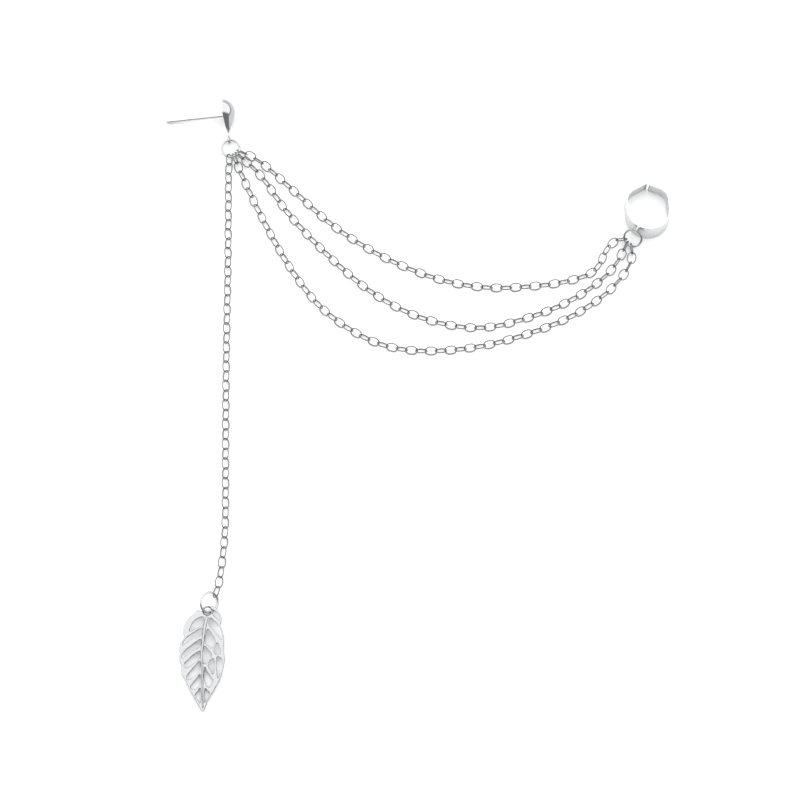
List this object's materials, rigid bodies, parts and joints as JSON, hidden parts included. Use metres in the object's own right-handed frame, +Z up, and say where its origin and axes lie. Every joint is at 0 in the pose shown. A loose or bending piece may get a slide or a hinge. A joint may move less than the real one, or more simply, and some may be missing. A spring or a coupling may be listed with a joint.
{
  "type": "ear chain earring",
  "caption": "Ear chain earring in silver-tone metal: a drop stud, swagged chains to an ear cuff, and a long chain with a pierced leaf pendant.",
  "frame": {"origin": "centre of the laid-out earring's footprint, on the surface that it lies on", "axes": "+Y along the straight drop chain, from the leaf up to the stud; +Z up from the surface; +X from the stud towards the ear cuff"},
  "size_m": [0.1009, 0.122, 0.005],
  "materials": {
    "stud_metal": "polished silver plate",
    "ring_metal": "polished silver plate",
    "chain_metal": "polished silver plate",
    "leaf_metal": "cast, tumbled and silver plated",
    "cuff_metal": "polished silver plate"
  },
  "bodies": {
    "root": {"ear_stud": "stud_metal", "stud_ring": "ring_metal", "drop_chain": "chain_metal", "leaf_ring": "ring_metal", "leaf_pendant": "leaf_metal", "swag_chain_top": "chain_metal", "swag_chain_middle": "chain_metal", "swag_chain_bottom": "chain_metal", "cuff_ring": "ring_metal", "ear_cuff": "cuff_metal"}
  },
  "joints": []
}
